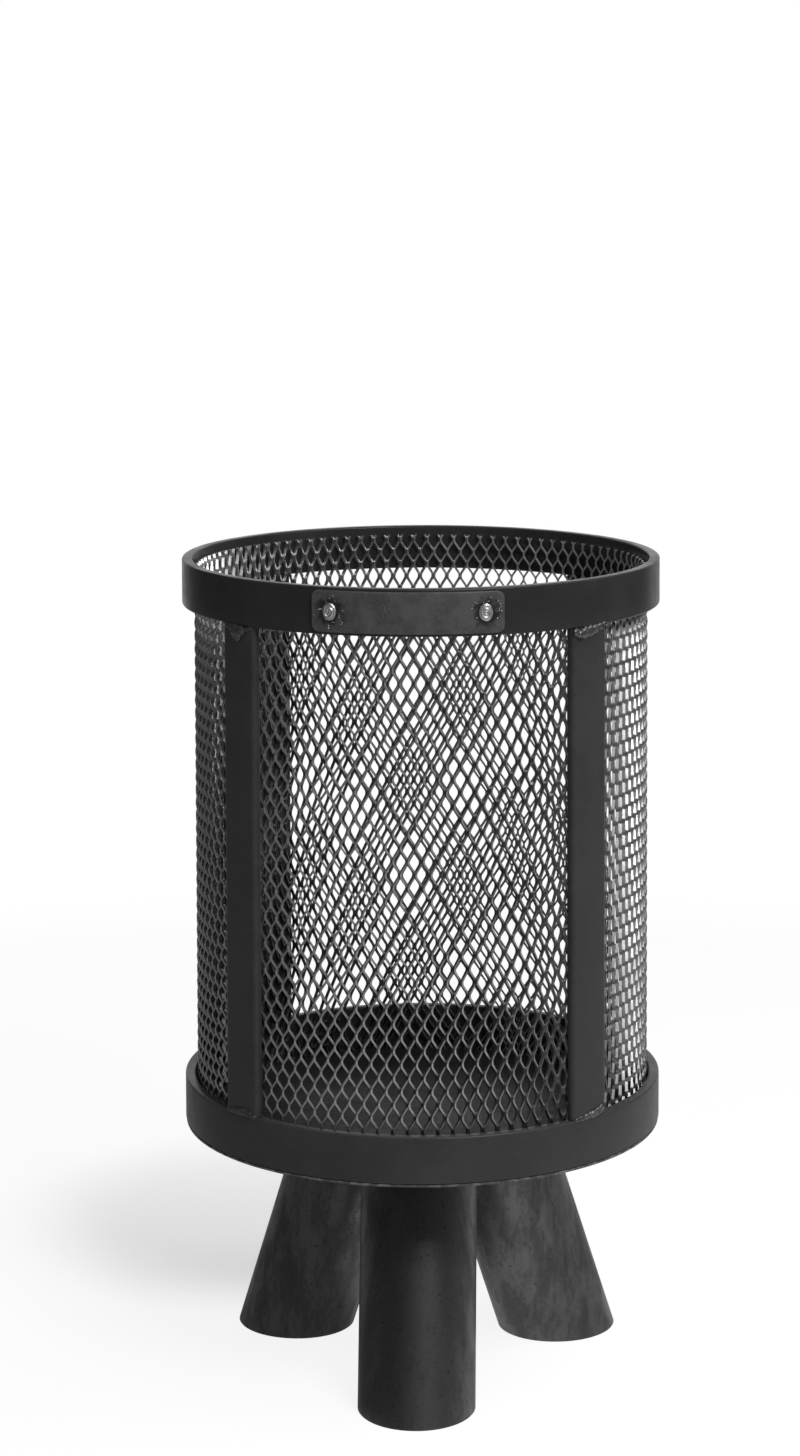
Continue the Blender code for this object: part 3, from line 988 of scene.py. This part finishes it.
@dataclass
class UprightWelds:
    """The welds at the ends of each upright, on its face at the hoops' edges."""

    finishes: FinishBook
    frame_bars: BarFrame
    voxel: float = 0.0004
    sunk: float = 0.0003
    rubbed_from: float = 0.002
    ripple_depth: float = 0.05
    ripple_turns: Pair = (9.0, 5.0)
    rough_depth: float = 0.16
    rough_scale: float = 1.6
    drop: tuple[Puddle, ...] = (
        Puddle(-0.0150, -0.0008, 0.0030, 0.0016, 0.0010), Puddle(-0.0112, 0.0012, 0.0034, 0.0022, 0.0016),
        Puddle(-0.0068, 0.0022, 0.0036, 0.0030, 0.0022), Puddle(-0.0012, 0.0050, 0.0062, 0.0058, 0.0036),
        Puddle(0.0002, 0.0086, 0.0040, 0.0040, 0.0026), Puddle(0.0040, 0.0035, 0.0040, 0.0040, 0.0030),
        Puddle(0.0095, 0.0022, 0.0044, 0.0020, 0.0016), Puddle(0.0140, 0.0006, 0.0030, 0.0014, 0.0010))
    mound: tuple[Puddle, ...] = (
        Puddle(-0.0146, 0.0028, 0.0032, 0.0032, 0.0026), Puddle(-0.0114, 0.0042, 0.0038, 0.0038, 0.0048),
        Puddle(-0.0060, 0.0040, 0.0046, 0.0044, 0.0026), Puddle(-0.0005, 0.0038, 0.0050, 0.0044, 0.0022),
        Puddle(0.0052, 0.0026, 0.0046, 0.0036, 0.0020), Puddle(0.0105, 0.0012, 0.0044, 0.0028, 0.0018),
        Puddle(0.0150, -0.0002, 0.0030, 0.0020, 0.0014))
    ridge: tuple[Puddle, ...] = (
        Puddle(-0.0125, 0.0006, 0.0034, 0.0018, 0.0012), Puddle(-0.0080, 0.0012, 0.0040, 0.0026, 0.0018),
        Puddle(-0.0025, 0.0016, 0.0042, 0.0032, 0.0022), Puddle(0.0030, 0.0018, 0.0042, 0.0034, 0.0026),
        Puddle(0.0085, 0.0014, 0.0042, 0.0030, 0.0024), Puddle(0.0135, 0.0006, 0.0032, 0.0022, 0.0016))
    hook: tuple[Puddle, ...] = (
        Puddle(-0.0130, 0.0004, 0.0034, 0.0018, 0.0014), Puddle(-0.0084, 0.0008, 0.0040, 0.0022, 0.0016),
        Puddle(-0.0030, 0.0010, 0.0040, 0.0024, 0.0018), Puddle(0.0030, 0.0016, 0.0044, 0.0030, 0.0024),
        Puddle(0.0082, 0.0030, 0.0040, 0.0034, 0.0022), Puddle(0.0125, 0.0048, 0.0034, 0.0028, 0.0016))

    def lumps(self, weld: Weld) -> bpy.types.Mesh:
        """The puddles as squashed balls with rippled skins.

        Args:
            weld: the weld, as on an upright at the front.

        Returns:
            The balls in one mesh.
        """
        bm = bmesh.new()
        across, rings = self.ripple_turns
        for puddle in weld.puddles:
            made = bmesh.ops.create_icosphere(bm, subdivisions=4, radius=1.0)
            for vert in made["verts"]:
                ball = vert.co.copy()
                ripple = math.sin(across * ball.x + rings * ball.z * ball.z + weld.seed)
                rough = noise.noise(ball * self.rough_scale + Vector((weld.seed, puddle.along * 900.0, 0.0)))
                swell = (1.0 + self.ripple_depth * ripple) * (1.0 + self.rough_depth * rough)
                along = weld.mirror * (puddle.along + ball.x * puddle.half_width * swell)
                away = self.frame_bars.face_radius + ball.y * puddle.out * swell
                down = weld.direction * (puddle.down + ball.z * puddle.half_height * swell)
                vert.co = Vector((along, -away, weld.seam + down))
        mesh = bpy.data.meshes.new(weld.node + "_run")
        bm.to_mesh(mesh)
        bm.free()
        return mesh

    def bead(self, weld: Weld) -> None:
        """Builds one weld, its puddles run together and cut flat on the upright's face.

        Args:
            weld: the weld.
        """
        mesh = self.lumps(weld)
        made = stand(weld.node + "_run", mesh)
        melt = made.modifiers.new("melt", "REMESH")
        melt.mode = "VOXEL"
        melt.voxel_size = self.voxel
        calm = made.modifiers.new("calm", "SMOOTH")
        calm.factor = 0.5
        calm.iterations = 3
        graph = bpy.context.evaluated_depsgraph_get()
        final = bpy.data.meshes.new_from_object(made.evaluated_get(graph))
        made.modifiers.clear()
        made.data = final
        bpy.data.meshes.remove(mesh)
        face = self.frame_bars.face_radius - self.sunk
        wear = []
        for vert in final.vertices:
            vert.co.y = min(vert.co.y, -face)
            wear.append(min(1.0, (-vert.co.y - face) / self.rubbed_from))
        final.attributes.new(WEAR_AND_SHADE_LAYER, "FLOAT", "POINT").data.foreach_set("value", wear)
        final.transform(Matrix.Rotation(math.radians(weld.azimuth), 4, "Z"))
        final.materials.clear()
        final.materials.append(self.finishes.weld)
        final.shade_smooth()
        dress(made, weld.node, Slot.WELD)

    def build(self) -> None:
        """Builds the eight welds."""
        bars = self.frame_bars
        shapes = ((self.drop, self.ridge, 1.0), (self.mound, self.hook, 1.0), (self.drop, self.hook, -1.0),
                  (self.mound, self.ridge, -1.0))
        for order, ((side, azimuth), (upper, lower, mirror)) in enumerate(zip(bars.uprights, shapes)):
            seed = 1.0 + order
            self.bead(Weld("top_bead_" + side, azimuth, upper, bars.top_low, -1.0, mirror, seed))
            self.bead(Weld("bottom_bead_" + side, azimuth, lower, bars.bottom_high, 1.0, mirror, seed + 10.0))


@dataclass
class BlankPlate:
    """The blank curved plate on the top hoop and its two plug welds.

    Attributes:
        turned: the angle of the plate's middle from the front.
        plug_shape: a plug weld's width and height as shares of its diameter.
        uneven: how far a plug weld is out of round.
        stem: how deep it reaches into the plate.
        swirl: the depth of the swirl frozen in it, and the swirl's turns.
        speck_reach: how far the grains of spatter lie from its middle, in half diameters.
        halo: how far the full scorch reaches and where it ends.
        scorch_noise: turns to a metre and strength of what makes its rings uneven.
    """

    finishes: FinishBook
    arc_length: float = 0.1422
    turned: float = -0.0122
    thickness: float = 0.002
    margin: float = 0.0022
    corner_radius: float = 0.0055
    corner_steps: int = 12
    edge_radius: float = 0.0005
    columns: int = 130
    rows: int = 28
    plug_inset: float = 0.0141
    plug_shape: Pair = (0.86, 1.08)
    cap_diameter: float = 0.0120
    cap_height: float = 0.0016
    plug_rings: int = 18
    plug_spokes: int = 48
    uneven: float = 0.07
    stem: float = 0.0012
    swirl: Pair = (0.00048, 2.5)
    specks: int = 20
    speck_reach: Pair = (1.15, 2.1)
    speck_size: Pair = (0.00028, 0.0006)
    speck_seeds: tuple[int, int] = (5, 9)
    speck_rings: int = 5
    speck_spokes: int = 10
    halo: Pair = (0.0066, 0.0125)
    scorch_depth: float = 0.85
    scorch_noise: Pair = (260.0, 0.45)

    def __post_init__(self) -> None:
        """Reads the hoop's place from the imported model."""
        low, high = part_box("top_hoop")
        self.radius = high.x
        self.height = high.z - low.z - 2 * self.margin
        self.middle = (low.z + high.z) / 2
        self.plug_angle = (self.arc_length / 2 - self.plug_inset) / self.radius

    def bend(self, along: float, up: float, out: float) -> Vector:
        """A point of the flat plate rolled onto the hoop."""
        return polar(self.radius + SEAT_GAP + out, self.turned + along / self.radius, self.middle + up)

    def plate(self) -> None:
        """The plate, its edges softened."""
        shell = Shell()
        soft = self.edge_radius
        cut = CORNER_CUT * soft
        half = self.arc_length / 2
        straight = half - self.corner_radius
        turns = [math.pi / 2 * step / self.corner_steps for step in range(1, self.corner_steps + 1)]
        corner = [(straight + self.corner_radius * math.sin(turn), self.corner_radius * math.cos(turn))
                  for turn in turns]
        steps = [2 * step / self.columns - 1 for step in range(self.columns + 1)]
        spots = [(-along, up) for along, up in reversed(corner)]
        spots += [(straight * step, self.corner_radius) for step in steps] + corner
        loops = []
        for along, up in spots:
            tall = self.height / 2 - self.corner_radius + up
            near_end = max(0.0, abs(along) - (half - soft)) / soft
            top = self.thickness - soft * (1.0 - math.sqrt(max(0.0, 1.0 - near_end**2)))
            upper = [(tall, 0.0, 0.0), (tall, top - soft, 0.6), (tall - cut, top - cut, 1.0),
                     (tall - soft, top, 0.6)]
            lower = [(-up, out, wear) for up, out, wear in reversed(upper)]
            shares = [1 - 2 * row / self.rows for row in range(1, self.rows)]
            front = [((tall - soft) * share, top, near_end) for share in shares]
            back = [(-tall * share, 0.0, 0.0) for share in shares]
            loop = upper + front + lower + back
            points = [self.bend(along, up, out) for up, out, _ in loop]
            loops.append(shell.ring(points, [max(wear, near_end) for _, _, wear in loop]))
        shell.loft(loops)
        piece = shell.piece("blank_plate", self.finishes.plate)
        layer = piece.data.attributes.new(SCORCH_LAYER, "FLOAT", "POINT")
        layer.data.foreach_set("value", [self.scorch(vert.co) for vert in piece.data.vertices])
        dress(piece, "name_plate", Slot.PLATE)

    def scorch(self, point: Vector) -> float:
        """How far the steel is scorched by the nearer plug weld.

        Args:
            point: a point of the plate.

        Returns:
            A share from 0 to 1.
        """
        angle = math.atan2(point.x, -point.y) - self.turned
        along = (abs(angle) - self.plug_angle) * self.radius
        reach = math.hypot(along, point.z - self.middle)
        scale, strength = self.scorch_noise
        reach *= 1.0 + strength * noise.noise(point * scale)
        near, far = self.halo
        return self.scorch_depth * (1.0 - smooth_step((reach - near) / (far - near)))

    def dome(self, angle: float, reach: float, turn: float, out: float) -> Vector:
        """A point of a plug weld.

        Args:
            angle: the weld's angle from the plate's middle.
            reach: how far from the weld's middle the point lies, before the weld is drawn taller than wide.
            turn: in which direction it lies.
            out: how far it stands out of the plate.

        Returns:
            The point.
        """
        wide, tall = self.plug_shape
        along = angle * self.radius + reach * wide * math.cos(turn)
        return self.bend(along, reach * tall * math.sin(turn), self.thickness + out)

    def plug(self, side: str, direction: float) -> None:
        """A plug weld: a low dome with the weld pool's swirl frozen in it and a few specks of spatter.

        Args:
            side: left or right, as in its node's name.
            direction: -1 for left, 1 for right.
        """
        draw = random.Random(self.speck_seeds[direction > 0])
        shell = Shell()
        angle = direction * self.plug_angle
        half = self.cap_diameter / 2
        depth, swirl_turns = self.swirl
        turns = [TURN * spoke / self.plug_spokes for spoke in range(self.plug_spokes)]
        loops = [shell.ring([self.dome(angle, half * 0.9, turn, -self.stem) for turn in turns])]
        for ring in range(self.plug_rings):
            share = 1.0 - ring / self.plug_rings
            dome = self.cap_height * math.sqrt(max(0.0, 1.0 - (share * 0.98) ** 2.6))
            points = []
            for turn in turns:
                rim = Vector((math.cos(turn), math.sin(turn), 3.0 * direction))
                reach = half * share * (1.0 + self.uneven * noise.noise(rim))
                swirl = depth * math.sin(TURN * (swirl_turns * share) + turn) * (1.0 - share**6)
                points.append(self.dome(angle, reach, turn, dome + swirl * min(1.0, 3.0 * share)))
            loops.append(shell.ring(points, 0.5))
        shell.loft(loops)
        for _ in range(self.specks):
            reach = half * draw.uniform(*self.speck_reach)
            turn = draw.uniform(0.0, TURN)
            size = draw.uniform(*self.speck_size)
            self.speck(shell, angle * self.radius + reach * math.cos(turn), reach * math.sin(turn), size)
        dress(shell.piece("plug_" + side, self.finishes.bare, sharp=60.0), "plug_weld_" + side, Slot.BARE)

    def speck(self, shell: Shell, along: float, up: float, size: float) -> None:
        """A grain of spatter stuck to the plate.

        Args:
            shell: the surface that it is added to.
            along: where it lies along the plate.
            up: where it lies above the plate's middle.
            size: its radius.
        """
        loops = []
        turns = [TURN * spoke / self.speck_spokes for spoke in range(self.speck_spokes)]
        for level in range(self.speck_rings):
            lift = math.pi * level / self.speck_rings - math.pi / 2 + 0.15
            wide = size * math.cos(lift)
            out = self.thickness + size * 0.3 + size * 0.8 * math.sin(lift)
            spots = [(along + wide * math.cos(turn), up + wide * math.sin(turn)) for turn in turns]
            loops.append(shell.ring([self.bend(*spot, out) for spot in spots], 1.0))
        shell.loft(loops)

    def build(self) -> None:
        """Builds the plate and its plug welds."""
        self.plate()
        self.plug("left", -1.0)
        self.plug("right", 1.0)


# Studio


@dataclass(frozen=True)
class SoftBox:
    """A square studio lamp: its direction from the basket in degrees, distance, size and radiance."""

    name: str
    azimuth: float
    elevation: float
    distance: float
    width: float
    height: float
    radiance: float

    def build(self, target: Vector) -> None:
        """Hangs the lamp.

        Args:
            target: what it faces.
        """
        lamp = bpy.data.lights.new(self.name, "AREA")
        lamp.shape = "RECTANGLE"
        lamp.size = self.width
        lamp.size_y = self.height
        lamp.energy = self.radiance * math.pi * self.width * self.height
        elevation = math.radians(self.elevation)
        away = polar(math.cos(elevation), math.radians(self.azimuth), math.sin(elevation))
        made = stand(self.name, lamp)
        made.location = target + away * self.distance
        made.rotation_euler = (-away).to_track_quat("-Z", "Y").to_euler()


@dataclass
class Studio:
    """The pale floor, the white surroundings, the soft lamps and the camera.

    Attributes:
        near_glow: what the camera sees of the floor besides its lit colour.
        white_from: the distances between which the floor goes over to plain white for the camera.
        shade_centre: where the floor keeps its full shadow; over shade_span it is evened out from there.
        dim_side: the level of the walls that the steel mirrors.
        lit_side: the direction in which the mirrored floor is bright, with lit_span its edges.
        lit_levels: the mirrored floor's levels away from that direction and in it.
        lit_reach: the distances between which the mirrored floor goes over to the room.
        patch_side: the direction of a brighter patch of the mirrored floor near the basket.
    """

    floor_radius: float = 14.0
    floor_tone: float = 0.82
    near_glow: float = 0.50
    white_from: Pair = (0.75, 1.6)
    shade_centre: Triple = (-0.14, 0.32, 0.0)
    shade_span: Pair = (0.12, 0.27)
    shade_clearing: float = 0.75
    ambient: float = 0.2
    dim_side: float = 0.08
    backdrop_span: Pair = (0.72, 0.98)
    lit_side: Triple = (0.92, 0.38, 0.0)
    lit_span: Pair = (-0.9, 0.9)
    lit_levels: Pair = (0.22, 0.66)
    lit_reach: Pair = (1.6, 2.9)
    patch_side: Triple = (0.57, -0.82, 0.0)
    patch_span: Pair = (0.3, 0.9)
    patch_reach: Pair = (0.45, 0.85)
    patch_level: float = 0.8
    aim: float = 0.32
    lamps: tuple[SoftBox, ...] = (
        SoftBox("key_softbox", 30.0, 44.0, 2.8, 1.0, 0.7, 16.0),
        SoftBox("side_softbox", 98.0, 30.0, 2.8, 1.0, 0.7, 1.4),
        SoftBox("overhead_softbox", 74.0, 60.0, 2.8, 1.6, 1.0, 4.2))

    # The photograph's camera, solved from the basket's outline
    frame_height_px: float = 1456.0
    frame_width_px: float = 800.0
    focal_px: float = 3363.1
    centre_x_px: float = 420.1
    centre_y_px: float = 335.8
    sensor: float = 36.0
    camera_distance: float = 2.5916
    camera_height: float = 0.9815
    camera_azimuth: float = math.radians(2.4)
    camera_pitch: float = math.radians(4.0)
    camera_roll: float = math.radians(-0.17)

    def eye(self, wires: Wiring) -> Socket:
        """1 for rays from the camera and through glass, else 0."""
        return wires.math("MAXIMUM", wires.ray("Camera"), wires.ray("Transmission"))

    def facing(self, wires: Wiring, place: Socket, way: Triple) -> Socket:
        """How far a place or ray lies in a direction from the basket: 1 straight in it, -1 opposite."""
        unit = wires.vector("NORMALIZE", place).outputs["Vector"]
        return wires.vector("DOT_PRODUCT", unit, way).outputs["Value"]

    def room(self, wires: Wiring, place: Socket) -> Socket:
        """What the steel mirrors of the room: the white backdrop behind the basket, dim walls elsewhere."""
        behind = self.facing(wires, place, (0.0, 1.0, 0.0))
        return wires.span(behind, *self.backdrop_span, self.dim_side, 1.0)

    def surroundings(self) -> None:
        """White for the eye, the room for the steel's gloss, and a plain diffuse light."""
        world = bpy.data.worlds.new("white_room")
        world.use_nodes = True
        wires = Wiring(world.node_tree)
        light = world.node_tree.nodes["Background"]
        gloss = wires.ray("Glossy")
        place = wires.node("TexCoord").outputs["Generated"]
        mirrored = wires.math("MULTIPLY", gloss, self.room(wires, place))
        plain = wires.math("MULTIPLY", wires.math("SUBTRACT", 1.0, gloss), self.ambient)
        level = wires.math("MAXIMUM", self.eye(wires), wires.math("ADD", mirrored, plain))
        wires.feed(light.inputs["Color"], (1.0, 1.0, 1.0, 1.0))
        wires.feed(light.inputs["Strength"], level)
        bpy.context.scene.world = world

    def seen_floor(self, wires: Wiring, place: Socket, distance: Socket) -> bpy.types.Node:
        """The floor as the eye sees it and as it lights the basket: matte, and white further off.

        Args:
            wires: the floor's node tree.
            place: the place on the floor.
            distance: how far it is from the basket's axis.

        Returns:
            The shader.
        """
        tone = self.floor_tone
        matte = wires.node("BsdfDiffuse", {"Color": (tone, tone, tone, 1.0)})
        glow = wires.node("Emission", {"Strength": wires.math("MULTIPLY", self.eye(wires), self.near_glow)})
        both = wires.node("AddShader", {0: matte.outputs[0], 1: glow.outputs[0]})
        aside = wires.vector("DISTANCE", place, self.shade_centre).outputs["Value"]
        clear = wires.span(aside, *self.shade_span, 0.0, self.shade_clearing)
        far = wires.math("MAXIMUM", wires.span(distance, *self.white_from), clear)
        share = wires.math("MULTIPLY", far, self.eye(wires))
        return wires.node("MixShader", {0: share, 1: both.outputs[0], 2: wires.node("Emission").outputs[0]})

    def mirrored_floor(self, wires: Wiring, place: Socket, distance: Socket) -> bpy.types.Node:
        """The floor as the steel's gloss mirrors it.

        Args:
            wires: the floor's node tree.
            place: the place on the floor.
            distance: how far it is from the basket's axis.

        Returns:
            The shader.
        """
        lit = wires.span(self.facing(wires, place, self.lit_side), *self.lit_span, *self.lit_levels)
        beyond = wires.span(distance, *self.lit_reach)
        shaded = wires.math("MULTIPLY", lit, wires.math("SUBTRACT", 1.0, beyond))
        near = wires.span(distance, *self.patch_reach, self.patch_level, 0.0)
        ahead = wires.span(self.facing(wires, place, self.patch_side), *self.patch_span)
        shaded = wires.math("MAXIMUM", shaded, wires.math("MULTIPLY", near, ahead))
        room = wires.math("MULTIPLY", self.room(wires, place), beyond)
        return wires.node("Emission", {"Strength": wires.math("ADD", shaded, room)})

    def floor(self) -> None:
        """The pale floor, which keeps the basket's shadow."""
        bm = bmesh.new()
        bmesh.ops.create_circle(bm, cap_ends=True, segments=96, radius=self.floor_radius)
        mesh = bpy.data.meshes.new("studio_floor")
        bm.to_mesh(mesh)
        bm.free()
        material = bpy.data.materials.new("pale_floor")
        material.use_nodes = True
        nodes = material.node_tree.nodes
        nodes.remove(nodes["Principled BSDF"])
        wires = Wiring(material.node_tree)
        place = wires.node("TexCoord").outputs["Object"]
        distance = wires.vector("LENGTH", place).outputs["Value"]
        seen = self.seen_floor(wires, place, distance).outputs[0]
        mirrored = self.mirrored_floor(wires, place, distance).outputs[0]
        blend = wires.node("MixShader", {0: wires.ray("Glossy"), 1: seen, 2: mirrored})
        wires.feed(nodes["Material Output"].inputs["Surface"], blend.outputs[0])
        mesh.materials.append(material)
        stand("studio_floor", mesh)

    def camera(self) -> None:
        """The camera where the photograph's stood."""
        lens = bpy.data.cameras.new("photo_camera")
        lens.sensor_width = self.sensor
        lens.lens = self.focal_px / self.frame_height_px * self.sensor
        lens.shift_x = (self.frame_width_px / 2 - self.centre_x_px) / self.frame_height_px
        lens.shift_y = (self.centre_y_px - self.frame_height_px / 2) / self.frame_height_px
        turn, pitch, roll = self.camera_azimuth, self.camera_pitch, self.camera_roll
        ahead = polar(-math.cos(pitch), turn, -math.sin(pitch))
        right = Vector((math.cos(turn), math.sin(turn), 0.0))
        up = right.cross(ahead)
        side = math.cos(roll) * right + math.sin(roll) * up
        top = math.cos(roll) * up - math.sin(roll) * right
        place = polar(self.camera_distance, turn, self.camera_height)
        made = stand("photo_camera", lens)
        made.matrix_world = Matrix.Translation(place) @ Matrix((side, top, -ahead)).transposed().to_4x4()
        bpy.context.scene.camera = made

    def build(self) -> None:
        """Sets up the whole studio."""
        bpy.context.scene.view_settings.view_transform = "Standard"
        self.surroundings()
        self.floor()
        self.camera()
        for lamp in self.lamps:
            lamp.build(Vector((0.0, 0.0, self.aim)))


def main() -> None:
    """Builds the studio and every sub-assembly in order."""
    logging.basicConfig(level=logging.INFO, format="%(name)s: %(message)s")
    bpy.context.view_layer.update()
    Studio().build()
    finishes = FinishBook()
    bars = BarFrame(finishes)
    bars.build()
    BaseSheet(finishes).build()
    ExpandedSheet(finishes).build()
    TubeLegs(finishes).build()
    UprightWelds(finishes, bars).build()
    BlankPlate(finishes).build()


if __name__ == "__main__":
    main()
